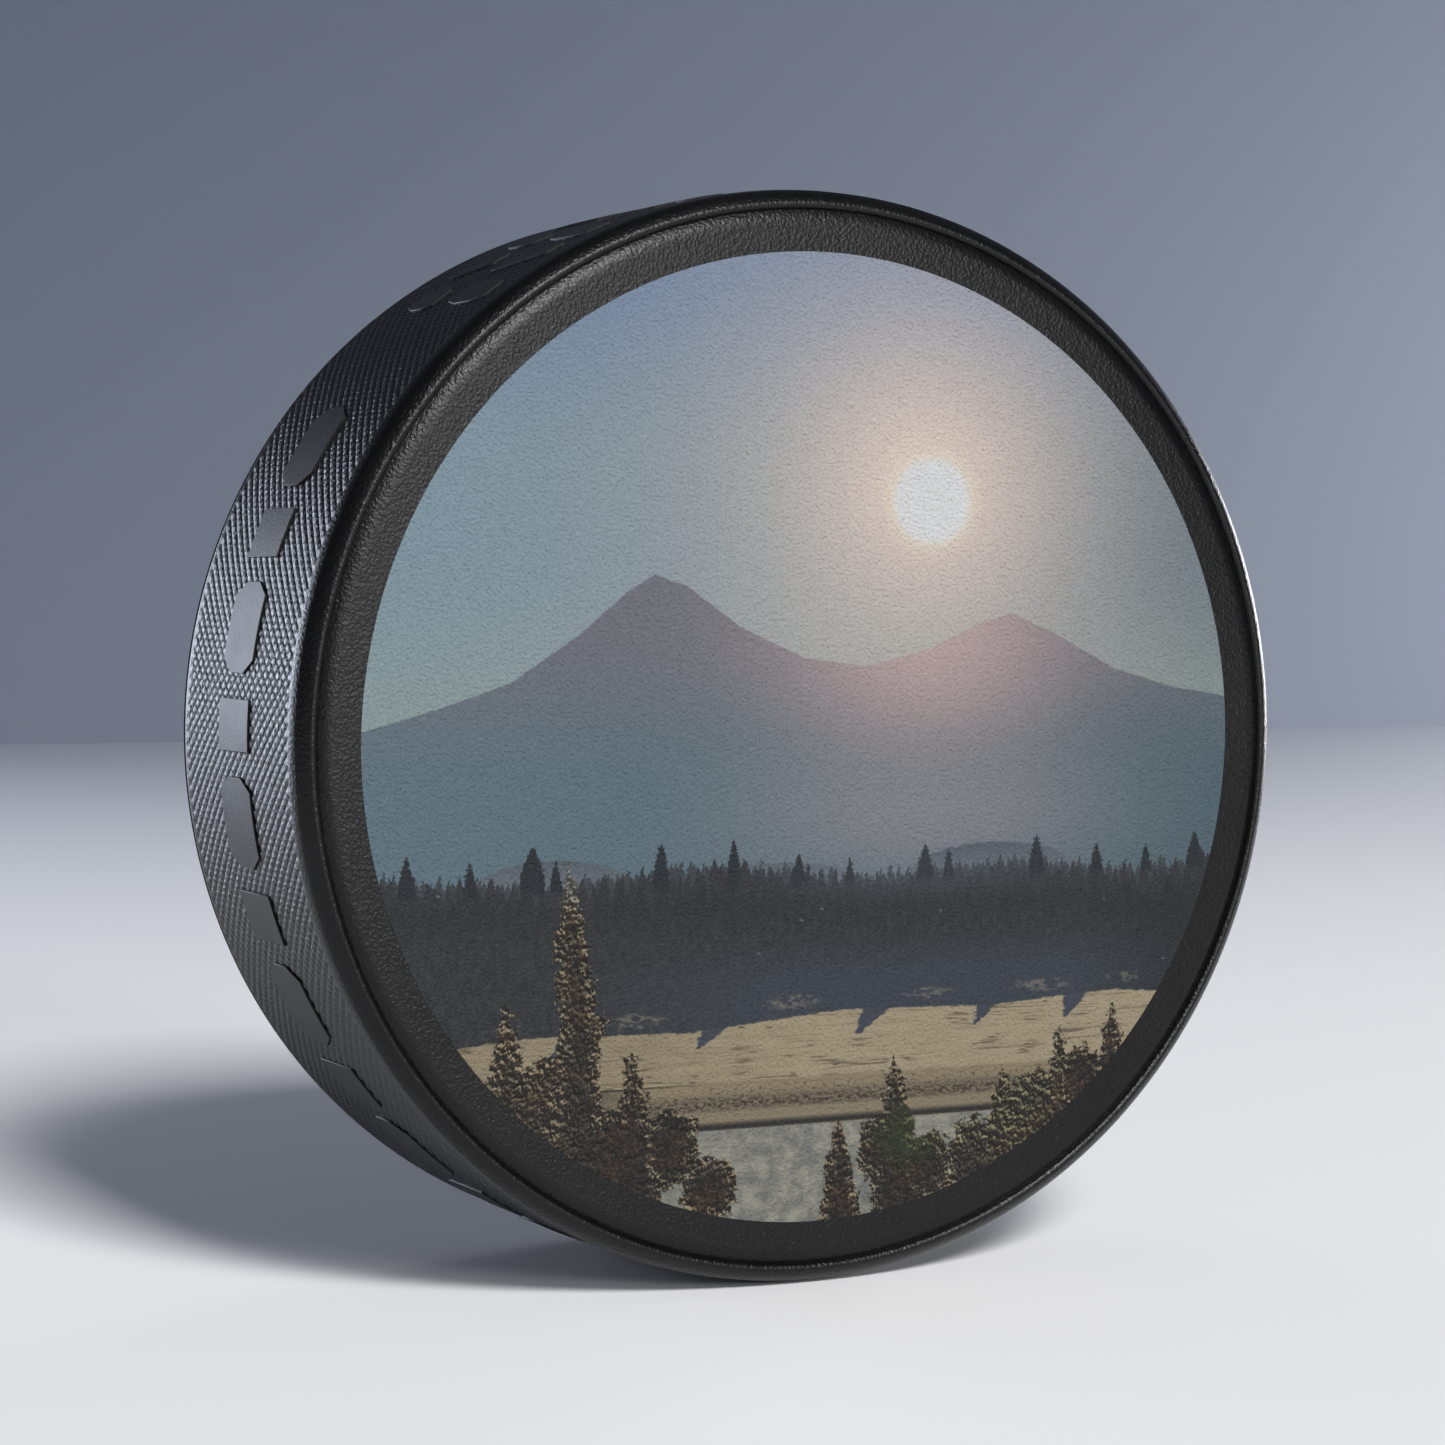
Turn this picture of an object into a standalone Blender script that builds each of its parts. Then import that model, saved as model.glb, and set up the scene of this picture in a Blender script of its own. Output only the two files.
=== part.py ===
"""Hockey puck with a picture printed on one face, standing on its edge.

Metres, +Z up. The origin is on the floor, under the middle of the puck. The puck's axis runs
along Y: the printed face looks towards -Y and the plain face towards +Y.

The puck is one rubber moulding. The print on it is three films, one on the other: a white base
coat, the coloured print and a clear coat. They lie in a shallow pocket of the rubber, so that
the clear coat is flush with the flat of the face.
"""

import math

import bpy

MM = 0.001

# The rubber disc: 3 inches across and 1 inch wide.
PUCK_RADIUS = 38.1 * MM
PUCK_WIDTH = 25.4 * MM
# Flats round the disc. A multiple of four puts a flat under the puck, over it and at each side.
FACETS = 64

# The rim, from the flat of the face outwards: the flat rolls down into a narrow groove, a small
# bead stands up on the groove's far side, and a large radius runs from the bead to the side wall,
# which it meets EDGE_DEPTH below the face.
FLAT_RADIUS = 35.65 * MM
FLAT_ROUNDING = 0.9 * MM
GROOVE_ANGLE = math.radians(52)
BEAD_ROUNDING = 0.35 * MM
BEAD_INNER_ANGLE = math.radians(60)
EDGE_ROUNDING = 4.1 * MM
EDGE_DEPTH = 2.9 * MM
ARC_STEP = math.radians(10)

# The print's films, with the gap that keeps touching solids apart.
PRINT_RADIUS = 33.6 * MM
FILM_THICKNESS = 0.15 * MM
FILM_GAP = 0.3 * MM
FILMS = ("white_base_coat", "colour_print", "clear_coat")
PRINT_SIDES = 96
POCKET_RADIUS = PRINT_RADIUS + FILM_GAP
POCKET_DEPTH = len(FILMS) * (FILM_THICKNESS + FILM_GAP)

# Each piece's colour and roughness. Nothing on the puck is metal.
FINISHES = {
    "puck_body": ((0.022, 0.022, 0.024, 1.0), 0.55),
    "white_base_coat": ((0.80, 0.80, 0.78, 1.0), 0.60),
    "colour_print": ((0.20, 0.25, 0.28, 1.0), 0.50),
    "clear_coat": ((0.85, 0.87, 0.88, 0.25), 0.45),
}


def clear_scene():
    for obj in list(bpy.data.objects):
        bpy.data.objects.remove(obj, do_unlink=True)


def make_material(name):
    colour, roughness = FINISHES[name]
    material = bpy.data.materials.new(name)
    material.use_nodes = True
    shader = material.node_tree.nodes["Principled BSDF"]
    shader.inputs["Base Color"].default_value = colour
    shader.inputs["Alpha"].default_value = colour[3]
    shader.inputs["Roughness"].default_value = roughness
    shader.inputs["Metallic"].default_value = 0.0
    material.diffuse_color = colour
    return material


def add_piece(name, mesh, collection, axis, height):
    """An object of this mesh on the puck's axis, at this height from the disc's middle."""
    piece = bpy.data.objects.new(name, mesh)
    collection.objects.link(piece)
    piece.parent = axis
    piece.location = (0.0, 0.0, height)
    mesh.materials.append(make_material(name))
    return piece


def arc(centre, radius, start, end):
    """Points on an arc from start to end. Angles are tilts from the axis, positive outwards."""
    steps = max(1, round(abs(end - start) / ARC_STEP))
    tilts = (start + (end - start) * step / steps for step in range(steps + 1))
    return [(centre[0] + radius * math.sin(t), centre[1] + radius * math.cos(t)) for t in tilts]


def bead_centre_radius(edge_centre):
    """How far out the bead's centre is, when its top is level with the flat and the edge's large
    radius runs into it without a corner."""
    reach = EDGE_ROUNDING - BEAD_ROUNDING
    rise = PUCK_WIDTH / 2 - BEAD_ROUNDING - edge_centre[1]
    return edge_centre[0] + math.sqrt(reach**2 - rise**2)


def rim_profile():
    """(radius, height) from the end of the flat, over the groove and bead, to the side wall."""
    face = PUCK_WIDTH / 2
    flat_centre = (FLAT_RADIUS, face - FLAT_ROUNDING)
    edge_centre = (PUCK_RADIUS - EDGE_ROUNDING, face - EDGE_DEPTH)
    bead_centre = (bead_centre_radius(edge_centre), face - BEAD_ROUNDING)
    out, up = (bead_centre[i] - edge_centre[i] for i in (0, 1))
    bead_outer_angle = math.atan2(out, up)
    flat_roll = arc(flat_centre, FLAT_ROUNDING, 0.0, GROOVE_ANGLE)
    bead = arc(bead_centre, BEAD_ROUNDING, -BEAD_INNER_ANGLE, bead_outer_angle)
    edge = arc(edge_centre, EDGE_ROUNDING, bead_outer_angle, math.pi / 2)
    return flat_roll + bead + edge[1:]


def body_profile():
    """The moulding's outline from the axis on the printed face, round the rim, to the axis on
    the plain face."""
    face = PUCK_WIDTH / 2
    floor = face - POCKET_DEPTH
    pocket = [(0.0, floor), (POCKET_RADIUS, floor), (POCKET_RADIUS, face)]
    rim = rim_profile()
    far_rim = [(radius, -height) for radius, height in reversed(rim)]
    return pocket + rim + far_rim + [(0.0, -face)]


def make_body(collection, axis):
    # The corners between the flats stand out, so that each flat touches the true circle.
    spread = 1.0 / math.cos(math.pi / FACETS)
    turn = math.pi / FACETS
    points = [
        (radius * spread * math.cos(turn), radius * spread * math.sin(turn), height)
        for radius, height in body_profile()
    ]
    mesh = bpy.data.meshes.new("puck_body")
    mesh.from_pydata(points, [(i, i + 1) for i in range(len(points) - 1)], [])
    body = add_piece("puck_body", mesh, collection, axis, 0.0)
    screw = body.modifiers.new("turn", "SCREW")
    screw.axis = "Z"
    screw.angle = 2 * math.pi
    screw.steps = FACETS
    screw.render_steps = FACETS
    screw.use_merge_vertices = True
    screw.merge_threshold = 0.00001
    screw.use_smooth_shade = True


def make_film(name, collection, axis, layer):
    """One film of the print. Layer 0 is the deepest."""
    bottom = PUCK_WIDTH / 2 - POCKET_DEPTH + FILM_GAP + layer * (FILM_THICKNESS + FILM_GAP)
    bpy.ops.mesh.primitive_cylinder_add(
        vertices=PRINT_SIDES, radius=PRINT_RADIUS, depth=FILM_THICKNESS
    )
    disc = bpy.context.active_object
    mesh = disc.data
    bpy.data.objects.remove(disc, do_unlink=True)
    mesh.name = name
    add_piece(name, mesh, collection, axis, bottom + FILM_THICKNESS / 2)


def main():
    clear_scene()
    collection = bpy.data.collections.new("hockey_puck")
    bpy.context.scene.collection.children.link(collection)
    axis = bpy.data.objects.new("puck_axis", None)
    axis.location = (0.0, 0.0, PUCK_RADIUS)
    axis.rotation_euler = (math.pi / 2, 0.0, 0.0)
    collection.objects.link(axis)
    make_body(collection, axis)
    for layer, name in enumerate(FILMS):
        make_film(name, collection, axis, layer)


main()
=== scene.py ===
"""The looks of the hockey puck: the rubber moulding with its knurled side, the picture on its face,
and the studio it stands in.

Metres, +Z up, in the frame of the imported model: the puck stands on the floor with its axis along
Y, and the picture looks towards -Y. Inside the picture, lengths are in millimetres from its
middle, and colours are display values from 0 to 255.
"""

import math

import bmesh
import bpy
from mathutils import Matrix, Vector


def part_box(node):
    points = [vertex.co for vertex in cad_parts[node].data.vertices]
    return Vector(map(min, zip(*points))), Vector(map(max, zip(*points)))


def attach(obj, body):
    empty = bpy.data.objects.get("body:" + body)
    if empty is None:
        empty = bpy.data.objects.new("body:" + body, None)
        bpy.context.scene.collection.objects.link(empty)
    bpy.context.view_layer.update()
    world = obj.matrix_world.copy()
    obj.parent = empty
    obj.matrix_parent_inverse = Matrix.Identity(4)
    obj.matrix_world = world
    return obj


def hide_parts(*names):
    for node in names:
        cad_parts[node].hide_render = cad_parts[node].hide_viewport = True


MM = 0.001

# The rim, from the flat of the face outwards: the flat rolls down into a narrow groove, a bead
# stands up on the groove's far side, and a large radius runs from the bead to the side wall.
FLAT_RADIUS = 35.44 * MM
FLAT_ROUNDING = 1.85 * MM
GROOVE_ANGLE = math.radians(35)
BEAD_ROUNDING = 0.35 * MM
BEAD_INNER_ANGLE = math.radians(75)
EDGE_ROUNDING = 2.1 * MM
EDGE_DEPTH = 1.85 * MM
ARC_STEP = math.radians(7)

# Edges sharper than this are shaded as edges. Points closer than WELD become one.
SHARP_ANGLE = math.radians(50)
WELD = 0.001 * MM

# The mould's parting line: a fine groove where the edge's radius nears the side wall.
PARTING_DEPTH_BELOW_FACE = 0.9 * MM
PARTING_WIDTH = 0.12 * MM
PARTING_CUT = 0.12 * MM

# The knurl: diamonds round the side wall. Its crests lie a little below the raised marks.
KNURLS_ROUND = 252
KNURLS_ACROSS = 18
KNURL_HALF_WIDTH = 10.95 * MM
KNURL_DEPTH = 0.09 * MM
CREST_BELOW_MARKS = 0.13 * MM
# Steps of the mesh in each diamond, both ways.
LATTICE = 4

# The picture's film stands this much proud of the rubber under it.
FILM_THICKNESS = 0.03 * MM
# Radii of the mesh's rings on a flat face, from its middle outwards.
FACE_RINGS = (0.0, 12.0 * MM, 24.0 * MM)
# Points round each ring of the picture's mesh.
PICTURE_SIDES = 504

# Raised marks round the side: a plain border down the middle of the wall, and two rows of smaller
# marks over the top. A pattern lists each mark's shape, its width in degrees and the gap after it.
MARK_FOOT_DEPTH = 0.5 * MM
MARK_BEVEL = 0.04 * MM
MARK_BEVEL_STEPS = 2
MARK_BEVEL_ANGLE = math.radians(40)
MARK_COLUMNS = 20
BORDER_PATTERN = (
    ("hexagon", 9.6, 2.6),
    ("block", 5.4, 2.6),
)
SMALL_PATTERN = (
    ("slant", 5.0, 2.2),
    ("hexagon", 4.2, 2.0),
)
# Each run's pattern, where it starts in degrees, how often it repeats and its reach along Y.
MARK_RUNS = (
    (BORDER_PATTERN, 53.1, 12, (-2.9 * MM, 3.2 * MM)),
    (SMALL_PATTERN, -40.0, 6, (-8.6 * MM, -2.4 * MM)),
    (SMALL_PATTERN, -40.0, 6, (0.8 * MM, 5.2 * MM)),
)

# The camera, about the puck's middle. Its sensor and lens are in millimetres, as Blender takes them.
CAMERA_AZIMUTH = math.radians(-25.96)
CAMERA_ELEVATION = math.radians(2.5)
CAMERA_DISTANCE = 263.9 * MM
AIM_RIGHT = -1.07 * MM
AIM_UP = 0.64 * MM
SENSOR_WIDTH = 36.0
LENS = 90.8
CLIP_REACH = (0.01, 20.0)

# The studio: a wide pale floor and a plain upright backdrop behind the puck, turned a little. Both
# carry painted shade: the floor grows darker towards the backdrop, and the backdrop towards its
# upper left. A gradient has a direction, where it starts and ends along it in metres, and its
# display colours at both.
FLOOR_SIZE = 6.0
# Painted shade: the floor's colour darkens from near white to grey-blue towards the backdrop.
FLOOR_PAINTED_SHADE = ((0.0, 1.0, 0.0), (0.06, 0.76), ((252, 252, 254), (157, 162, 173)))
FLOOR_ROUGHNESS = 0.7
WALL_DISTANCE = 0.786
WALL_TURN = math.radians(-10.4)
WALL_HEIGHT = 2.0
# Painted shade: the backdrop's colour darkens towards its upper left.
WALL_PAINTED_SHADE = ((0.5, 0.0, -1.15), (-0.45, 0.6), ((72, 78, 91), (141, 147, 160)))
WALL_ROUGHNESS = 0.9
AMBIENT_COLOUR = (0.62, 0.70, 0.88)
AMBIENT_STRENGTH = 0.055

# Area lights: name, azimuth from -Y towards +X and elevation in degrees, distance, width and height
# in metres, colour, and power in watts.
LIGHTS = (
    ("key", 1.0, 37.5, 2.5, 0.60, 0.60, (1.0, 0.995, 0.985), 64.5),
    ("front_fill", 13.0, 13.0, 1.5, 0.25, 0.25, (1.0, 1.0, 1.0), 6.5),
    ("side_panel", 206.0, 2.5, 0.70, 0.44, 0.24, (0.78, 0.85, 1.0), 2.9),
    ("edge_strip", 120.0, 4.0, 1.0, 0.14, 0.22, (1.0, 1.0, 1.0), 2.6),
)


# ---------------------------------------------------------------- the frame


def puck_measures():
    """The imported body's radius and half its width, and the picture's radius."""
    low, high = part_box("puck_body")
    film_low, film_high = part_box("clear_coat")
    return (high.z - low.z) / 2, (high.y - low.y) / 2, (film_high.x - film_low.x) / 2


def on_puck(radius, turn, across):
    """The point at this radius, turned from the top towards -X, this far across along Y."""
    return (-radius * math.sin(turn), across, RADIUS + radius * math.cos(turn))


# ---------------------------------------------------------------- the rubber moulding


def arc(centre, radius, start, end):
    """(radius, depth) points on an arc. Angles are tilts from the face's normal, outwards."""
    steps = max(1, round(abs(end - start) / ARC_STEP))
    tilts = (start + (end - start) * step / steps for step in range(steps + 1))
    return [(centre[0] + radius * math.sin(t), centre[1] - radius * math.cos(t)) for t in tilts]


def edge_radius(depth):
    """How far out the plain rubber reaches at this depth below the face."""
    short = max(0.0, EDGE_DEPTH - depth)
    return RADIUS - EDGE_ROUNDING + math.sqrt(EDGE_ROUNDING**2 - short**2)


def rim_profile():
    """(radius, depth below the face) from the middle of a face to the parting line."""
    flat_centre = (FLAT_RADIUS, FLAT_ROUNDING)
    edge_centre = (RADIUS - EDGE_ROUNDING, EDGE_DEPTH)
    reach = EDGE_ROUNDING - BEAD_ROUNDING
    out = math.sqrt(reach**2 - (EDGE_DEPTH - BEAD_ROUNDING) ** 2)
    bead_centre = (edge_centre[0] + out, BEAD_ROUNDING)
    bead_outer_angle = math.atan2(out, EDGE_DEPTH - BEAD_ROUNDING)
    parting = PARTING_DEPTH_BELOW_FACE
    parting_angle = math.acos((EDGE_DEPTH - parting + PARTING_WIDTH / 2) / EDGE_ROUNDING)
    flat = [(radius, 0.0) for radius in FACE_RINGS]
    roll = arc(flat_centre, FLAT_ROUNDING, 0.0, GROOVE_ANGLE)
    bead = arc(bead_centre, BEAD_ROUNDING, -BEAD_INNER_ANGLE, bead_outer_angle)
    edge = arc(edge_centre, EDGE_ROUNDING, bead_outer_angle, parting_angle)
    groove = (edge_radius(parting) - PARTING_CUT, parting)
    return flat + roll + bead + edge[1:] + [groove]


def knurl_height(column, row):
    """0 in the knurl's grooves and 1 on its diamonds, at a corner of the lattice."""
    last_row = KNURLS_ACROSS * LATTICE
    if row in (0, last_row):
        return 1.0
    in_groove = (column + row) % LATTICE == 0 or (column - row) % LATTICE == 0
    return 0.0 if in_groove else 1.0


def crest_radius(across):
    return edge_radius(HALF_WIDTH - abs(across)) - CREST_BELOW_MARKS


def wall_rows():
    """(distance along Y, lattice row or None) for each row of the side wall, front to back."""
    rows = KNURLS_ACROSS * LATTICE
    lip = HALF_WIDTH - PARTING_DEPTH_BELOW_FACE - PARTING_WIDTH / 2
    knurled = [(KNURL_HALF_WIDTH * (2 * row / rows - 1), row) for row in range(rows + 1)]
    return [(-lip, None)] + knurled + [(lip, None)]


def add_ring(mesh, radius, across, count):
    turns = (2 * math.pi * i / count for i in range(count))
    return [mesh.verts.new(on_puck(radius, turn, across)) for turn in turns]


def add_wall_ring(mesh, across, row):
    count = KNURLS_ROUND * LATTICE
    ring = []
    for column in range(count):
        height = 1.0 if row is None else knurl_height(column, row)
        radius = crest_radius(across) - KNURL_DEPTH * (1.0 - height)
        ring.append(mesh.verts.new(on_puck(radius, 2 * math.pi * column / count, across)))
    return ring


def fill_between(mesh, near, far):
    """Quads between two rings of the same count. far lies beyond near along +Y."""
    for i, corner in enumerate(near):
        following = (i + 1) % len(near)
        mesh.faces.new((corner, near[following], far[following], far[i]))


def fill_knurl(mesh, near, far, row):
    """Triangles between two rows of the lattice, cut along the grooves and the diamonds' edges."""
    count = len(near)
    for i in range(count):
        j = (i + 1) % count
        corners = (near[i], near[j], far[j], far[i])
        rising = (i + row) % 2 == 0
        low, high = ((i, row), (i + 1, row + 1)) if rising else ((i + 1, row), (i, row + 1))
        on_groove = knurl_height(*low) == knurl_height(*high) == 0.0
        if rising == on_groove:
            mesh.faces.new((corners[0], corners[1], corners[2]))
            mesh.faces.new((corners[0], corners[2], corners[3]))
        else:
            mesh.faces.new((corners[0], corners[1], corners[3]))
            mesh.faces.new((corners[1], corners[2], corners[3]))


def fill_step(mesh, coarse, fine, outwards):
    """Faces between a ring and one of LATTICE times its count."""
    for i, corner in enumerate(coarse):
        following = coarse[(i + 1) % len(coarse)]
        run = [fine[(LATTICE * i + k) % len(fine)] for k in range(LATTICE + 1)]
        face = [corner, following] + run[::-1]
        mesh.faces.new(face if outwards else face[::-1])


def fill_cap(mesh, ring, side):
    """The middle of a face. side is -1 on the front."""
    centre = mesh.verts.new(on_puck(0.0, 0.0, side * FACE_PLANE))
    for i, corner in enumerate(ring):
        following = ring[(i + 1) % len(ring)]
        mesh.faces.new((centre, following, corner) if side < 0 else (centre, corner, following))


def add_rim(mesh, side):
    """One face of the moulding with its rim. Returns the last ring, in the parting line."""
    outline = rim_profile()[1:]
    rings = [
        add_ring(mesh, radius, side * (FACE_PLANE - depth), KNURLS_ROUND)
        for radius, depth in outline
    ]
    fill_cap(mesh, rings[0], side)
    for inner, outer in zip(rings, rings[1:]):
        fill_between(mesh, *((inner, outer) if side < 0 else (outer, inner)))
    return rings[-1]


def make_rubber_disc():
    mesh = bmesh.new()
    front = add_rim(mesh, -1)
    back = add_rim(mesh, 1)
    rows = wall_rows()
    rings = [add_wall_ring(mesh, across, row) for across, row in rows]
    fill_step(mesh, front, rings[0], True)
    for k in range(len(rings) - 1):
        plain = rows[k][1] is None or rows[k + 1][1] is None
        if plain:
            fill_between(mesh, rings[k], rings[k + 1])
        else:
            fill_knurl(mesh, rings[k], rings[k + 1], rows[k][1])
    fill_step(mesh, back, rings[-1], False)
    bmesh.ops.recalc_face_normals(mesh, faces=mesh.faces)
    return add_piece("rubber_disc", mesh, rubber_material(), "rubber", "puck_body")


# ---------------------------------------------------------------- the raised marks


def mark_outline(shape, along):
    """How far a mark reaches across at a place along it. All run from -1 to 1."""
    if shape == "hexagon":
        high = min(1.0, 0.4 + 2.0 * (1.0 - abs(along)))
        return -high, high
    if shape == "slant":
        middle = 2.0 * along
        return max(-1.0, middle - 1.0), min(1.0, middle + 1.0)
    return -1.0, 1.0


def add_mark(mesh, shape, start, width, across):
    """A curved plate, closed all round, with its foot inside the rubber."""
    low_edge, high_edge = across
    middle, reach = (low_edge + high_edge) / 2, (high_edge - low_edge) / 2
    foot = RADIUS - MARK_FOOT_DEPTH
    columns = []
    for column in range(MARK_COLUMNS + 1):
        along = 2.0 * column / MARK_COLUMNS - 1.0
        turn = math.radians(start + width * (along + 1.0) / 2)
        low, high = (middle + reach * part for part in mark_outline(shape, along))
        corners = ((foot, low), (RADIUS, low), (RADIUS, high), (foot, high))
        columns.append([mesh.verts.new(on_puck(radius, turn, y)) for radius, y in corners])
    for near, far in zip(columns, columns[1:]):
        for i in range(4):
            j = (i + 1) % 4
            mesh.faces.new((near[i], far[i], far[j], near[j]))
    mesh.faces.new(columns[0])
    mesh.faces.new(columns[-1][::-1])


def add_run(mesh, pattern, start, copies, across):
    """Puts a pattern's marks one after the other, as many times as it repeats."""
    for shape, width, gap in pattern * copies:
        add_mark(mesh, shape, start, width, across)
        start += width + gap


def make_raised_marks():
    mesh = bmesh.new()
    for run in MARK_RUNS:
        add_run(mesh, *run)
    bmesh.ops.remove_doubles(mesh, verts=mesh.verts, dist=WELD)
    bmesh.ops.recalc_face_normals(mesh, faces=mesh.faces)
    marks = add_piece("raised_marks", mesh, mark_material(), "rubber", "puck_body")
    bevel = marks.modifiers.new("worn_edges", "BEVEL")
    bevel.width = MARK_BEVEL
    bevel.segments = MARK_BEVEL_STEPS
    bevel.angle_limit = MARK_BEVEL_ANGLE
    return marks


# ---------------------------------------------------------------- the picture's film


def make_picture():
    mesh = bmesh.new()
    radii = (*FACE_RINGS[1:], PICTURE_RADIUS)
    rings = [add_ring(mesh, radius, -HALF_WIDTH, PICTURE_SIDES) for radius in radii]
    edge = add_ring(mesh, PICTURE_RADIUS, -FACE_PLANE, PICTURE_SIDES)
    centre = mesh.verts.new(on_puck(0.0, 0.0, -HALF_WIDTH))
    back = mesh.verts.new(on_puck(0.0, 0.0, -FACE_PLANE))
    for near, far in zip(rings, rings[1:] + [edge]):
        fill_between(mesh, near, far)
    for i in range(PICTURE_SIDES):
        j = (i + 1) % PICTURE_SIDES
        mesh.faces.new((centre, rings[0][j], rings[0][i]))
        mesh.faces.new((back, edge[i], edge[j]))
    bmesh.ops.recalc_face_normals(mesh, faces=mesh.faces)
    films = ("white_base_coat", "colour_print", "clear_coat")
    return add_piece("picture_print", mesh, picture_material(), "print", *films)


def add_piece(name, mesh, material, slot, *nodes):
    """A piece of the puck from a bmesh, standing for these CAD nodes."""
    data = bpy.data.meshes.new(name)
    mesh.to_mesh(data)
    mesh.free()
    data.shade_smooth()
    data.set_sharp_from_angle(angle=SHARP_ANGLE)
    data.materials.append(material)
    piece = bpy.data.objects.new(name, data)
    bpy.context.scene.collection.objects.link(piece)
    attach(piece, "root")
    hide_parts(*nodes)
    return piece


# ---------------------------------------------------------------- material nodes


class Value:
    """A number in a node tree. Arithmetic on it adds the Math nodes that work it out."""

    def __init__(self, tree, socket):
        self.tree = tree
        self.socket = socket

    def __add__(self, other):
        return maths(self.tree, "ADD", self, other)

    def __sub__(self, other):
        return maths(self.tree, "SUBTRACT", self, other)

    def __rsub__(self, other):
        return maths(self.tree, "SUBTRACT", other, self)

    def __mul__(self, other):
        return maths(self.tree, "MULTIPLY", self, other)

    def __truediv__(self, other):
        return maths(self.tree, "DIVIDE", self, other)

    def __pow__(self, other):
        return maths(self.tree, "POWER", self, other)

    def __abs__(self):
        return maths(self.tree, "ABSOLUTE", self)

    __radd__ = __add__
    __rmul__ = __mul__

    def at_least(self, other):
        return maths(self.tree, "MAXIMUM", self, other)

    def at_most(self, other):
        return maths(self.tree, "MINIMUM", self, other)

    def rise(self, start, end):
        """0 up to start and 1 from end on, smooth between."""
        node = self.tree.nodes.new("ShaderNodeMapRange")
        node.interpolation_type = "SMOOTHSTEP"
        connect(self.tree, self, node.inputs["Value"])
        connect(self.tree, start, node.inputs["From Min"])
        connect(self.tree, end, node.inputs["From Max"])
        return Value(self.tree, node.outputs["Result"])

    def hump(self, middle, reach):
        """1 at middle, falling smoothly to 0 this far to each side."""
        return 1.0 - abs(self - middle).rise(0.0, reach)


def connect(tree, value, socket):
    if isinstance(value, Value):
        tree.links.new(value.socket, socket)
    else:
        socket.default_value = value


def maths(tree, operation, *values):
    node = tree.nodes.new("ShaderNodeMath")
    node.operation = operation
    for value, socket in zip(values, node.inputs):
        connect(tree, value, socket)
    return Value(tree, node.outputs["Value"])


def exp(value):
    return maths(value.tree, "EXPONENT", value)


def vector(tree, x, y, z=0.0):
    node = tree.nodes.new("ShaderNodeCombineXYZ")
    for value, socket in zip((x, y, z), node.inputs):
        connect(tree, value, socket)
    return node.outputs["Vector"]


def noise(tree, place, scale, detail=2.0, roughness=0.5):
    """Noise from about 0 to 1 with lumps about 1 / scale across."""
    node = tree.nodes.new("ShaderNodeTexNoise")
    node.inputs["Scale"].default_value = scale
    node.inputs["Detail"].default_value = detail
    node.inputs["Roughness"].default_value = roughness
    tree.links.new(place, node.inputs["Vector"])
    return Value(tree, node.outputs["Fac"])


def cells(tree, place, scale):
    """(distance from the nearest cell's middle, the cell's own random number)."""
    node = tree.nodes.new("ShaderNodeTexVoronoi")
    node.inputs["Scale"].default_value = scale
    tree.links.new(place, node.inputs["Vector"])
    split = tree.nodes.new("ShaderNodeSeparateColor")
    tree.links.new(node.outputs["Color"], split.inputs["Color"])
    return Value(tree, node.outputs["Distance"]), Value(tree, split.outputs["Red"])


def cells_along(tree, place):
    """The same along a line, with cells about 1 apart."""
    node = tree.nodes.new("ShaderNodeTexVoronoi")
    node.voronoi_dimensions = "1D"
    node.inputs["Scale"].default_value = 1.0
    connect(tree, place, node.inputs["W"])
    split = tree.nodes.new("ShaderNodeSeparateColor")
    tree.links.new(node.outputs["Color"], split.inputs["Color"])
    return Value(tree, node.outputs["Distance"]), Value(tree, split.outputs["Red"])


def shade(colour):
    """A display colour, each part from 0 to 255, as a node colour."""
    return tuple(part / 255 for part in colour) + (1.0,)


def mix(share, under, over):
    """under where share is 0 and over where it is 1. Each is a display colour or a socket."""
    tree = share.tree
    node = tree.nodes.new("ShaderNodeMix")
    node.data_type = "RGBA"
    connect(tree, share, node.inputs[0])
    sides = [socket for socket in node.inputs if socket.type == "RGBA"]
    for colour, socket in zip((under, over), sides):
        if isinstance(colour, tuple):
            socket.default_value = shade(colour)
        else:
            tree.links.new(colour, socket)
    return next(socket for socket in node.outputs if socket.type == "RGBA")


def new_material(name):
    """A material's tree, its Principled shader and the place on the object, in metres."""
    material = bpy.data.materials.new(name)
    material.use_nodes = True
    tree = material.node_tree
    place = tree.nodes.new("ShaderNodeTexCoord").outputs["Object"]
    return material, tree, tree.nodes["Principled BSDF"], place


def add_bump(tree, shader, height, distance):
    """Roughens the surface by this height, from 0 to 1, times this distance."""
    bump = tree.nodes.new("ShaderNodeBump")
    bump.inputs["Distance"].default_value = distance
    connect(tree, height, bump.inputs["Height"])
    tree.links.new(bump.outputs["Normal"], shader.inputs["Normal"])


def to_linear(tree, colour):
    """A display colour's socket, as the linear colour that the shader takes."""
    node = tree.nodes.new("ShaderNodeGamma")
    node.inputs["Gamma"].default_value = 2.2
    tree.links.new(colour, node.inputs["Color"])
    return node.outputs["Color"]


def dim(tree, colour, strength):
    """A linear colour's socket, times this strength."""
    node = tree.nodes.new("ShaderNodeVectorMath")
    node.operation = "SCALE"
    node.inputs["Scale"].default_value = strength
    tree.links.new(colour, node.inputs["Vector"])
    return node.outputs["Vector"]


# ---------------------------------------------------------------- rubber


# The grain's scale, and how deep its bumps are on the rubber, the smooth marks and the print.
GRAIN_SCALE = 4400.0
GRAIN_DISTANCE = 0.06 * MM
MARK_GRAIN_DISTANCE = 0.35 * GRAIN_DISTANCE
PRINT_GRAIN_DISTANCE = 0.28 * MM
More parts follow.
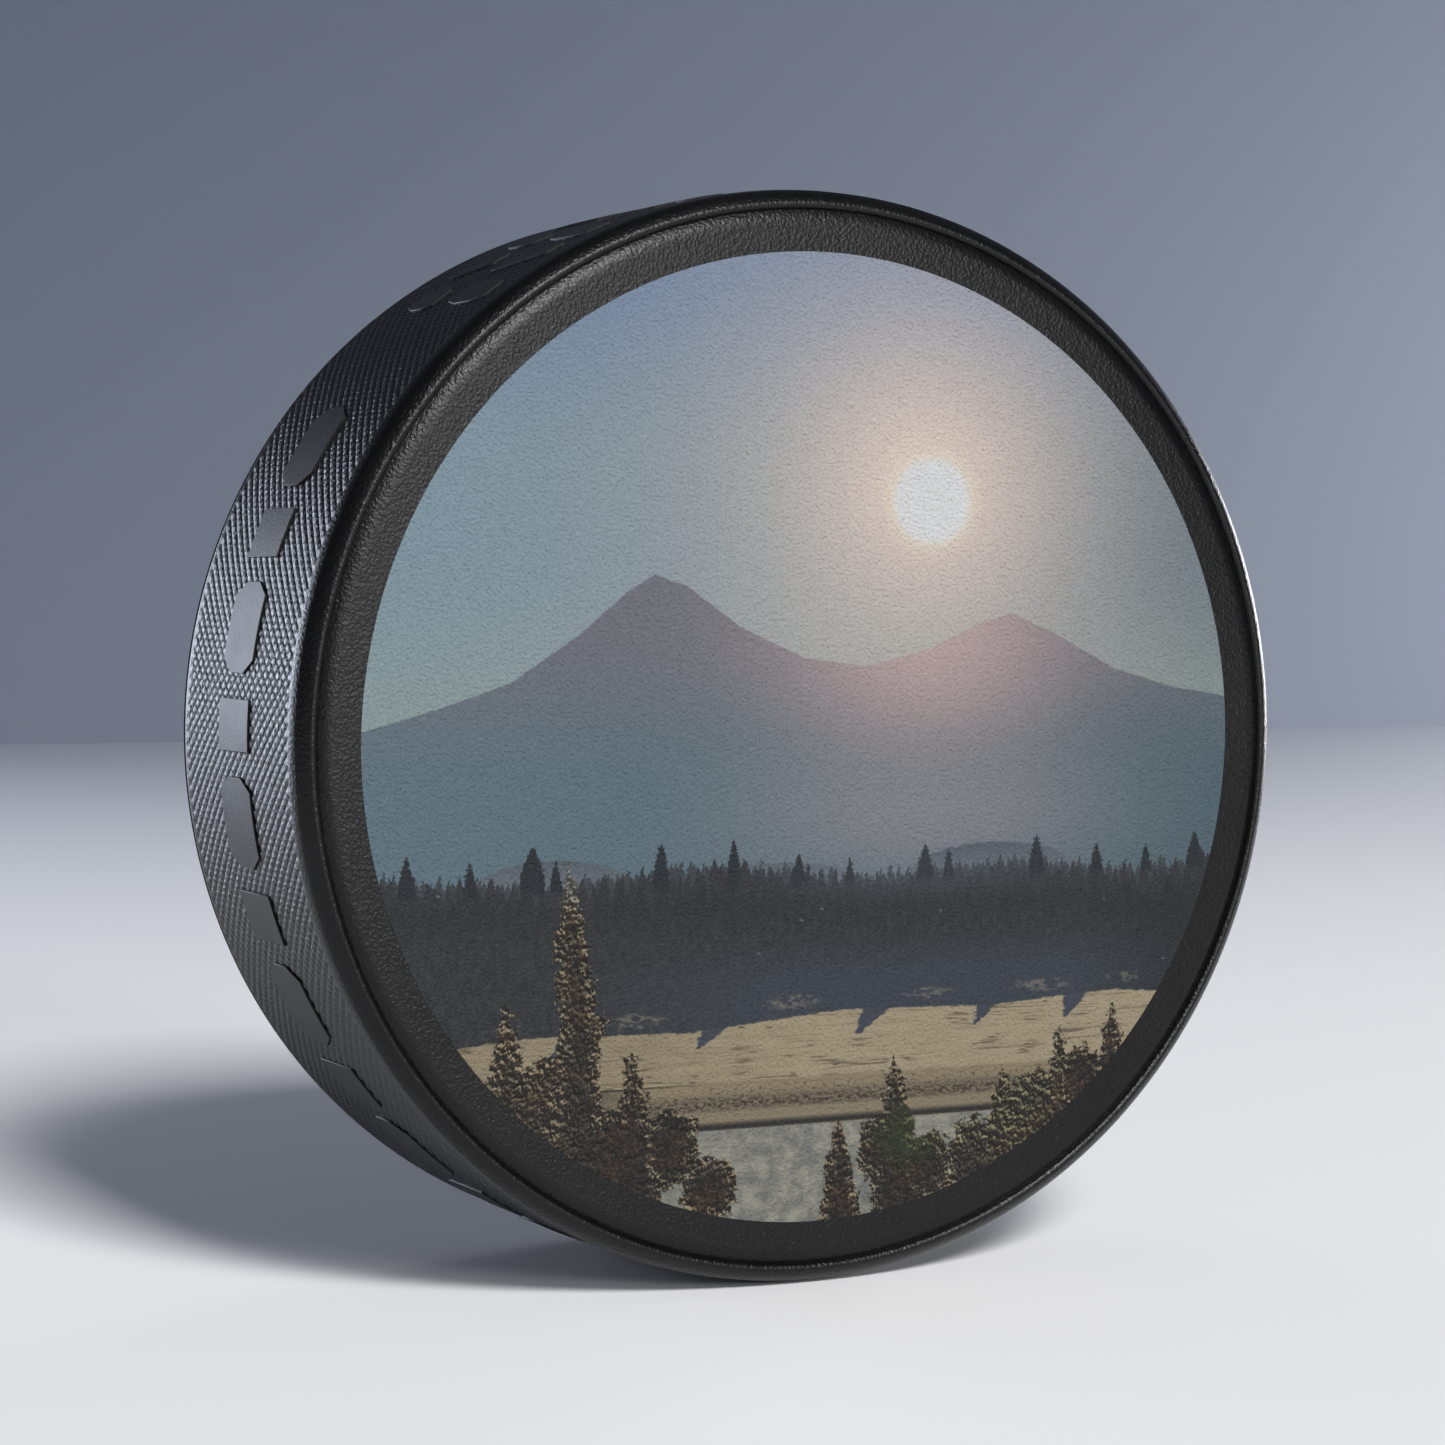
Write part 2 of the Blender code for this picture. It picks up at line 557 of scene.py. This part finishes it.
# The rubber's two shades, its gloss, and for each finish how rough its soft patches are, at least
# and at most, and the patches' scale.
RUBBER_SHADES = ((15, 15, 16), (19, 19, 20))
RUBBER_GLOSS = 0.27
RUBBER_ROUGHNESS = (0.30, 0.38)
RUBBER_PATCHES = 90.0
MARK_ROUGHNESS = (0.46, 0.54)
MARK_PATCHES = 300.0


def leather_grain(tree, place):
    """The mould's fine leathery grain, from about 0 to 1."""
    return noise(tree, place, GRAIN_SCALE, 2.0, 0.5)


def moulded_rubber(name, patch_scale, roughness, grain_distance):
    """Black rubber with soft patches of this scale and bumps this deep."""
    material, tree, shader, place = new_material(name)
    patches = noise(tree, place, patch_scale, 3.0)
    colour = mix(patches.rise(0.3, 0.7), *RUBBER_SHADES)
    tree.links.new(to_linear(tree, colour), shader.inputs["Base Color"])
    least, most = roughness
    connect(tree, least + patches * (most - least), shader.inputs["Roughness"])
    shader.inputs["Specular IOR Level"].default_value = RUBBER_GLOSS
    add_bump(tree, shader, leather_grain(tree, place), grain_distance)
    return material


def rubber_material():
    return moulded_rubber("black_rubber", RUBBER_PATCHES, RUBBER_ROUGHNESS, GRAIN_DISTANCE)


def mark_material():
    return moulded_rubber("smooth_rubber", MARK_PATCHES, MARK_ROUGHNESS, MARK_GRAIN_DISTANCE)


# ---------------------------------------------------------------- the picture


# How much of its light the print gives back, against the painted display colours.
PRINT_STRENGTH = 0.70
PRINT_GLOSS = 0.15
PRINT_ROUGHNESS = (0.50, 0.60)
# How soft a painted shape's edge is, and how far the painting reaches to each side.
EDGE_SOFTNESS = 0.06
PICTURE_REACH = 34.0

# The sun, the middle of its glow in the sky, and the middle of its wider glow on the mountain, whose
# place along X is given after the squeeze that widens it.
SUN = (9.0, 16.5)
SUN_RADIUS = 3.2
GLOW = (8.5, 17.5)
MOUNTAIN_GLOW = (6.8, 8.0)
MOUNTAIN_GLOW_SQUEEZE = 0.8

# The mountain's ridge line, at heights from 0 to RIDGE_TOP.
RIDGE_TOP = 14.0
RIDGE = (
    (-34.0, 1.0), (-28.0, 2.6), (-23.0, 4.2), (-18.0, 7.4), (-14.5, 10.2), (-12.5, 11.4),
    (-10.0, 10.6), (-6.0, 7.8), (-1.0, 5.6), (4.0, 5.0), (9.0, 6.2), (13.0, 8.0),
    (15.5, 8.6), (19.0, 7.2), (24.0, 4.6), (29.0, 3.2), (34.0, 2.4),
)

# Hills in front of it, as ellipses: the middle, then half the width and half the height.
HILLS = (
    (-20.0, -9.8, 6.0, 2.0),
    (-4.0, -10.4, 8.0, 1.9),
    (14.0, -10.0, 7.0, 2.4),
)

# The forest's top edge, and the taller trees along it: tip, then half the width 2 mm down.
FOREST_TOP_REACH = -12.0
FOREST_TOP = (
    (-34.0, -8.6), (-20.0, -9.4), (-8.0, -8.4), (4.0, -9.6), (16.0, -8.8), (26.0, -9.8),
    (34.0, -9.0),
)
TALL_TREES = (
    (-30.5, -7.2, 0.6), (-26.0, -7.7, 0.5), (-21.5, -6.8, 0.9), (-19.8, -7.8, 0.5),
    (-12.0, -6.9, 0.6), (-6.5, -6.8, 0.5), (-1.5, -7.9, 0.6), (2.5, -8.4, 0.5),
    (8.5, -7.6, 0.7), (10.4, -8.0, 0.5), (17.6, -7.2, 0.6), (22.6, -8.0, 0.6),
    (26.8, -8.2, 0.5), (31.0, -7.4, 0.7),
)

# Rows of small conifers inside the forest: how far below its edge, how high the tallest stand,
# their spacing and their colour.
TREE_ROWS = (
    (0.0, 0.7, 0.36, (64, 69, 73)),
    (0.4, 1.1, 0.55, (55, 57, 61)),
    (1.5, 1.6, 0.80, (52, 53, 56)),
    (2.8, 2.0, 1.10, (48, 50, 52)),
)

# The sunlit sand's top edge, with the tips and roots of the tree shadows that cross it, each
# shadow's half width, and patches of sunlit ground above it.
SAND_TOP_REACH = -22.0
SAND_TOP = (
    (-34.0, -20.6), (-22.0, -19.6), (-10.0, -19.9), (2.0, -18.9), (14.0, -19.2), (24.0, -18.6),
    (34.0, -19.4),
)
SHADOWS = (
    ((-20.5, -21.4), (-17.0, -18.6), 1.4),
    ((-9.5, -21.2), (-7.0, -18.8), 1.2),
    ((3.0, -20.8), (5.5, -18.0), 1.5),
    ((12.5, -20.6), (14.2, -18.2), 1.1),
    ((20.0, -20.4), (21.5, -17.6), 1.4),
)
SUNLIT_PATCHES = (
    (-14.0, -18.9, 2.6, 0.5),
    (-2.0, -18.2, 2.2, 0.5),
    (8.6, -18.1, 1.8, 0.45),
    (18.0, -18.0, 2.4, 0.5),
    (25.0, -17.8, 1.6, 0.4),
)

# The water's edge, and the bushes: cones by tip, root and half the width at the root, and ellipses
# as above. One spot among them is greener.
WATER_EDGE = -26.75
GREEN_SPOT = (7.0, -28.0)
BUSH_CONES = (
    ((-19.0, -7.0), (-18.4, -16.0), 1.4),
    ((-18.6, -15.0), (-18.2, -33.0), 2.7),
    ((-23.5, -17.5), (-23.2, -27.0), 2.2),
    ((-14.2, -21.0), (-14.0, -33.0), 2.4),
    ((6.0, -22.5), (6.4, -34.0), 2.4),
    ((1.6, -26.5), (1.8, -34.0), 1.8),
    ((15.0, -23.8), (14.4, -34.0), 2.6),
    ((19.6, -21.0), (19.4, -32.0), 2.0),
    ((24.0, -19.6), (23.6, -28.0), 1.8),
)
BUSH_CLUMPS = (
    (-18.8, -13.8, 1.3, 1.6),
    (-17.6, -19.2, 1.6, 1.2),
    (-20.2, -22.4, 1.7, 1.5),
    (-22.0, -25.0, 2.6, 3.2),
    (-11.4, -27.8, 2.2, 2.9),
    (-8.4, -30.8, 2.2, 2.2),
    (-15.6, -28.6, 3.0, 3.8),
    (4.8, -29.0, 1.7, 2.4),
    (8.6, -30.4, 2.2, 2.4),
    (12.4, -30.2, 2.2, 3.0),
    (17.6, -27.8, 2.6, 3.6),
    (21.4, -25.2, 2.0, 2.8),
)


def outline_curve(tree, x, points, reach):
    """The height of a line through the given points, as a Value of x. Heights run from 0 to reach.
    """
    node = tree.nodes.new("ShaderNodeFloatCurve")
    line = node.mapping.curves[0]
    for _ in range(len(points) - 2):
        line.points.new(0.5, 0.5)
    for point, (along, height) in zip(line.points, points):
        point.location = (along / PICTURE_REACH / 2 + 0.5, height / reach)
        point.handle_type = "VECTOR"
    node.mapping.update()
    connect(tree, x / (PICTURE_REACH * 2) + 0.5, node.inputs["Value"])
    return Value(tree, node.outputs["Value"]) * reach


def inside(depth):
    """1 where a depth is positive and 0 where it is negative, with a fine soft edge."""
    return depth.rise(-EDGE_SOFTNESS, EDGE_SOFTNESS)


def ellipse_depth(x, z, ellipse):
    """How far inside an ellipse a place is, in millimetres. Negative outside."""
    along, up, half_width, half_height = ellipse
    square = ((x - along) / half_width) ** 2.0 + ((z - up) / half_height) ** 2.0
    return (1.0 - square**0.5) * min(half_width, half_height)


def cone_depth(x, z, tip, root, half_width):
    """How far inside a cone from tip to root a place is. It keeps its width beyond the root."""
    height = abs(tip[1] - root[1])
    along = (z - tip[1]) / (root[1] - tip[1])
    middle = along * (root[0] - tip[0]) + tip[0]
    width = along.at_least(0.0).at_most(1.0) ** 0.7 * half_width
    return (width - abs(x - middle)).at_most(along * height)


def deepest(depths):
    """The greatest of some depths: the union of their shapes."""
    first, *others = depths
    for depth in others:
        first = first.at_least(depth)
    return first


def distance_from(x, z, place):
    return ((x - place[0]) ** 2.0 + (z - place[1]) ** 2.0) ** 0.5


def paint_sky(x, z):
    clear = mix(x.rise(-34.0, 34.0), (119, 141, 153), (86, 103, 114))
    low = mix(0.6 - z.rise(0.0, 14.0) * 0.6, clear, (138, 151, 143))
    top = mix(z.rise(18.0, 34.0) * 0.6, low, (89, 112, 153))
    away = distance_from(x, z, GLOW)
    return mix(exp(-1.0 * (away / 16.5) ** 1.4), top, (219, 199, 187))


def paint_sun(x, z, picture):
    away = distance_from(x, z, SUN)
    halo = 1.0 - away.rise(SUN_RADIUS - 0.8, SUN_RADIUS + 1.2)
    lit = mix(halo * 0.7, picture, (214, 208, 186))
    disc = 1.0 - away.rise(SUN_RADIUS - 0.6, SUN_RADIUS + 0.2)
    return mix(disc, lit, (208, 208, 209))


def paint_mountain(tree, x, z, picture):
    crags = noise(tree, vector(tree, x, 0.0), 1.4, 4.0, 0.6)
    line = outline_curve(tree, x, RIDGE, RIDGE_TOP) + (crags - 0.5) * 0.35
    rock = mix(x.rise(-34.0, 34.0), (93, 112, 122), (80, 97, 105))
    mauve = mix(z.rise(-4.0, 8.0) * 0.7, rock, (112, 107, 114))
    away = distance_from(x * MOUNTAIN_GLOW_SQUEEZE, z, MOUNTAIN_GLOW)
    warm = mix(exp(-1.0 * (away / 10.0) ** 2.1), mauve, (176, 155, 154))
    mist = mix(z.hump(-5.6, 8.0) * x.hump(9.0, 26.0) * 0.7, warm, (136, 132, 137))
    return mix(inside(line - z), picture, mist)


def paint_hills(tree, x, z, picture):
    ragged = (noise(tree, vector(tree, x, z), 2.5, 3.0) - 0.5) * 0.5
    depth = deepest([ellipse_depth(x, z, hill) for hill in HILLS]) + ragged
    haze = mix((z + 7.0).rise(0.0, -3.0), (82, 90, 99), (100, 107, 115))
    return mix(inside(depth), picture, haze)


def conifer_row(tree, x, z, edge, row, seed):
    """How far inside a row of narrow ragged conifers, each of its own height, a place is."""
    below_edge, tallest, spacing, _ = row
    ragged = (noise(tree, vector(tree, x, z, seed), 3.5) - 0.5) * 0.55
    away, chance = cells_along(tree, (x + ragged) / spacing + seed * 17.3)
    height = chance**2.5 * tallest
    return edge - below_edge + height - away * spacing * 2.6 - z


def paint_forest(tree, x, z, picture):
    edge = outline_curve(tree, x, FOREST_TOP, FOREST_TOP_REACH)
    haze = x.hump(9.0, 18.0) * (z + 12.5).rise(0.0, 3.0)
    for seed, row in enumerate(TREE_ROWS):
        hazed = mix(haze * 0.35, row[3], (88, 94, 102))
        depth = conifer_row(tree, x, z, edge, row, float(seed))
        picture = mix(inside(depth), picture, hazed)
    ragged = (noise(tree, vector(tree, x * 1.3, z), 4.5, 3.0) - 0.5) * 0.7
    trees = [cone_depth(x, z, (at, top), (at, top - 2.0), wide) for at, top, wide in TALL_TREES]
    tall = deepest(trees) + ragged
    standing = inside(tall) * (z + 10.5).rise(0.0, 0.8)
    return mix(standing, picture, mix(haze * 0.3, (46, 51, 55), (78, 82, 88)))


def paint_lower_forest(tree, x, z, picture):
    """The forest's shaded body down to the sand, bluer towards its foot."""
    streaks = noise(tree, vector(tree, x * 2.2, z * 0.9), 1.0, 4.0, 0.6)
    body = mix(streaks.rise(0.3, 0.7), (50, 53, 56), (61, 63, 65))
    blue = mix((-1.0 * z).rise(13.0, 17.0) * x.rise(-24.0, 0.0) * 0.8, body, (66, 72, 83))
    shaded = mix(x.rise(19.0, 31.0) * 0.7, blue, (42, 46, 48))
    picture = mix((-1.0 * z).rise(10.8, 13.5) * 0.85, picture, shaded)
    away, chance = cells(tree, vector(tree, x * 0.8 + z * 0.5, z * 1.6), 0.55)
    specks = (1.0 - away.rise(0.04, 0.10)) * chance.rise(0.82, 0.86) * (-1.0 * z).rise(9.0, 10.0)
    return mix(specks * 0.5, picture, (140, 142, 140))


def paint_sand(tree, x, z, picture):
    ragged = (noise(tree, vector(tree, x * 0.7, z), 2.2, 4.0, 0.65) - 0.5) * 0.9
    edge = outline_curve(tree, x, SAND_TOP, SAND_TOP_REACH) - z + ragged * 0.5
    shadows = deepest([cone_depth(x, z, *shadow) for shadow in SHADOWS]) + ragged * 1.5
    sunlit = edge.at_most(-1.0 * shadows)
    patches = deepest([ellipse_depth(x, z, patch) for patch in SUNLIT_PATCHES]) + ragged * 1.3
    gaps = noise(tree, vector(tree, x * 0.9 + z * 0.5, z * 2.0, 6.0), 1.6, 3.0).rise(0.42, 0.58)
    ripples = noise(tree, vector(tree, x * 0.12, z * 1.9), 1.0, 4.0, 0.6)
    plain = mix(ripples.rise(0.2, 0.8), (131, 120, 99), (149, 137, 114))
    sand = mix(x.rise(-16.0, 2.0) * 0.5, plain, (164, 152, 128))
    tracks = noise(tree, vector(tree, x * 0.045, z * 1.1, 8.0), 1.0, 2.0)
    lines = (tracks.hump(0.42, 0.016) + tracks.hump(0.52, 0.018)).at_most(1.0)
    broken = noise(tree, vector(tree, x * 0.4, z, 2.0), 1.0).rise(0.42, 0.6)
    marked = mix(lines * broken * 0.75, sand, (88, 78, 66))
    away, chance = cells(tree, vector(tree, x * 0.6, z * 1.8), 0.9)
    specks = (1.0 - away.rise(0.08, 0.2)) * chance.rise(0.7, 0.75)
    dotted = mix(specks * 0.6, marked, (80, 72, 62))
    ground = mix(sunlit.rise(-0.12, 0.10), (66, 70, 80), dotted)
    picture = mix(patches.rise(-0.1, 0.25) * gaps * 0.5, picture, (140, 131, 116))
    return mix(inside(edge), picture, ground)


def paint_shore(tree, x, z, picture):
    rocks = noise(tree, vector(tree, x, z * 1.8), 2.6, 4.0, 0.7)
    left = x.rise(-6.0, -16.0)
    mud = mix(x.rise(-13.0, -18.0), (132, 121, 100), (82, 80, 72))
    bank = mix(z.rise(-24.0, -24.6), mud, (114, 105, 89))
    strip = mix(z.rise(-25.3, -25.6) * x.rise(-19.0, -15.0), bank, (128, 118, 100))
    stones = rocks.rise(0.46, 0.54) * z.hump(-25.0, 0.65)
    pebbles = rocks.rise(0.57, 0.62) * z.hump(-24.2, 0.8)
    stony = mix((stones + pebbles).at_most(1.0) * 0.85, strip, (54, 50, 45))
    wet = mix(z.hump(-26.55, 0.5), stony, (50, 48, 48))
    wavy = noise(tree, vector(tree, x, 0.0), 0.5) * 0.25
    line = -23.35 - wavy - z
    edged = mix(line.hump(0.05, 0.14) * left, wet, (54, 52, 48))
    return mix(inside(line), picture, edged)


def paint_water(tree, x, z, picture):
    mottle = noise(tree, vector(tree, x * 0.8, z), 0.8, 5.0, 0.62)
    water = mix(mottle.rise(0.32, 0.68), (106, 108, 105), (146, 144, 132))
    return mix(inside(WATER_EDGE - z), picture, water)


def foliage(tree, x, z):
    """Leaf clumps from 0 to 1, with how much each is lit from above."""
    leaves = noise(tree, vector(tree, x, z, 4.0), 2.4, 5.0, 0.75)
    above = noise(tree, vector(tree, x + 0.08, z + 0.20, 4.0), 2.4, 5.0, 0.75)
    return leaves, (leaves - above).rise(0.01, 0.12)


def paint_bushes(tree, x, z, picture):
    ragged = (noise(tree, vector(tree, x, z), 0.9, 6.0, 0.78) - 0.5) * 3.4
    cones = [cone_depth(x, z, *cone) for cone in BUSH_CONES]
    clumps = [ellipse_depth(x, z, clump) for clump in BUSH_CLUMPS]
    twiggy = z.rise(-12.0, -8.5)
    level = deepest(cones + clumps) + ragged - twiggy * 0.3
    leaves, lit = foliage(tree, x, z)
    rust = noise(tree, vector(tree, x, z, 9.0), 0.5, 3.0).rise(0.45, 0.62)
    dark = mix(leaves.rise(0.35, 0.65), (36, 35, 34), mix(rust, (54, 51, 48), (66, 54, 47)))
    olive = x.hump(15.0, 8.0) * z.hump(-27.0, 6.0)
    rim = 1.0 - level.rise(0.1, 1.2)
    pale = x.rise(-16.0, -20.0) * 0.35
    share = lit * (rim * 0.9 + olive * 0.7 + twiggy + pale + 0.14).at_most(1.0) + twiggy * 0.25
    sunlit = mix(twiggy, mix(olive, (164, 150, 122), (150, 150, 110)), (162, 166, 160))
    bush = mix(share.at_most(1.0) * 0.9, dark, sunlit)
    green = (1.0 - distance_from(x, z, GREEN_SPOT).rise(0.5, 3.6)) * 0.5
    return mix(inside(level), picture, mix(green, bush, (56, 68, 44)))


def picture_material():
    material, tree, shader, place = new_material("landscape_print")
    split = tree.nodes.new("ShaderNodeSeparateXYZ")
    tree.links.new(place, split.inputs["Vector"])
    x = Value(tree, split.outputs["X"]) / MM
    z = (Value(tree, split.outputs["Z"]) - RADIUS) / MM
    picture = paint_sun(x, z, paint_sky(x, z))
    layers = (paint_mountain, paint_hills, paint_forest, paint_lower_forest, paint_sand,
              paint_shore, paint_water, paint_bushes)
    for paint in layers:
        picture = paint(tree, x, z, picture)
    printed = dim(tree, to_linear(tree, picture), PRINT_STRENGTH)
    tree.links.new(printed, shader.inputs["Base Color"])
    grain = leather_grain(tree, place)
    least, most = PRINT_ROUGHNESS
    connect(tree, least + grain * (most - least), shader.inputs["Roughness"])
    shader.inputs["Specular IOR Level"].default_value = PRINT_GLOSS
    add_bump(tree, shader, grain, PRINT_GRAIN_DISTANCE)
    return material


# ---------------------------------------------------------------- the studio


def shade_painted_material(name, gradient, roughness):
    """A colour that changes smoothly along one direction across the panel, as painted shade."""
    along, reach, colours = gradient
    material, tree, shader, place = new_material(name)
    project = tree.nodes.new("ShaderNodeVectorMath")
    project.operation = "DOT_PRODUCT"
    tree.links.new(place, project.inputs[0])
    project.inputs[1].default_value = along
    share = Value(tree, project.outputs["Value"]).rise(*reach)
    tree.links.new(to_linear(tree, mix(share, *colours)), shader.inputs["Base Color"])
    shader.inputs["Roughness"].default_value = roughness
    return material


def add_panel(name, corners, material):
    data = bpy.data.meshes.new(name)
    data.from_pydata(corners, [], [tuple(range(len(corners)))])
    data.materials.append(material)
    panel = bpy.data.objects.new(name, data)
    bpy.context.scene.collection.objects.link(panel)
    return panel


def make_studio():
    side = FLOOR_SIZE / 2
    floor = [(-side, -side, 0.0), (side, -side, 0.0), (side, side, 0.0), (-side, side, 0.0)]
    # The floor's and backdrop's colours hold painted shade, in gradients.
    add_panel("floor", floor, shade_painted_material("pale_floor", FLOOR_PAINTED_SHADE, FLOOR_ROUGHNESS))
    top = WALL_HEIGHT
    wall = [(side, 0.0, 0.0), (-side, 0.0, 0.0), (-side, 0.0, top), (side, 0.0, top)]
    grey = shade_painted_material("grey_backdrop", WALL_PAINTED_SHADE, WALL_ROUGHNESS)
    backdrop = add_panel("backdrop", wall, grey)
    backdrop.location.y = WALL_DISTANCE
    backdrop.rotation_euler.z = WALL_TURN


def direction(azimuth, elevation):
    """The unit vector from the puck. Azimuth 0 is towards -Y, and positive turns towards +X."""
    flat = math.cos(elevation)
    return Vector((math.sin(azimuth) * flat, -math.cos(azimuth) * flat, math.sin(elevation)))


def aim(thing, place, target):
    """Puts a light or the camera into the scene at a place, looking at the target."""
    thing.location = place
    thing.rotation_mode = "QUATERNION"
    thing.rotation_quaternion = (target - place).to_track_quat("-Z", "Y")
    bpy.context.scene.collection.objects.link(thing)


def make_lights():
    for name, azimuth, elevation, distance, width, height, colour, power in LIGHTS:
        lamp = bpy.data.lights.new(name, "AREA")
        lamp.shape = "RECTANGLE"
        lamp.size = width
        lamp.size_y = height
        lamp.color = colour
        lamp.energy = power
        towards = direction(math.radians(azimuth), math.radians(elevation))
        aim(bpy.data.objects.new(name, lamp), CENTRE + towards * distance, CENTRE)


def make_world():
    world = bpy.data.worlds.new("studio_air")
    world.use_nodes = True
    background = world.node_tree.nodes["Background"]
    background.inputs["Color"].default_value = AMBIENT_COLOUR + (1.0,)
    background.inputs["Strength"].default_value = AMBIENT_STRENGTH
    bpy.context.scene.world = world
    bpy.context.scene.view_settings.view_transform = "Standard"


def make_camera():
    data = bpy.data.cameras.new("camera")
    data.sensor_width = SENSOR_WIDTH
    data.lens = LENS
    data.clip_start, data.clip_end = CLIP_REACH
    back = direction(CAMERA_AZIMUTH, CAMERA_ELEVATION)
    right = Vector((0.0, 0.0, 1.0)).cross(back).normalized()
    up = back.cross(right)
    target = CENTRE + right * AIM_RIGHT + up * AIM_UP
    camera = bpy.data.objects.new("camera", data)
    aim(camera, target + back * CAMERA_DISTANCE, target)
    bpy.context.scene.camera = camera


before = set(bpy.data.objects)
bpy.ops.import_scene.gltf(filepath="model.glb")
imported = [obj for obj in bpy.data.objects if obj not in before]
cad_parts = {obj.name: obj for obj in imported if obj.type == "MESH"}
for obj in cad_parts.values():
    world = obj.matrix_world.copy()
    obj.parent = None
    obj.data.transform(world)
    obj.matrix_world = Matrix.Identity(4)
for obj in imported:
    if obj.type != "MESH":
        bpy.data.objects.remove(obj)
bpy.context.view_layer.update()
RADIUS, HALF_WIDTH, PICTURE_RADIUS = puck_measures()
FACE_PLANE = HALF_WIDTH - FILM_THICKNESS
CENTRE = Vector((0.0, 0.0, RADIUS))
make_rubber_disc()
make_raised_marks()
make_picture()
make_studio()
make_lights()
make_world()
make_camera()
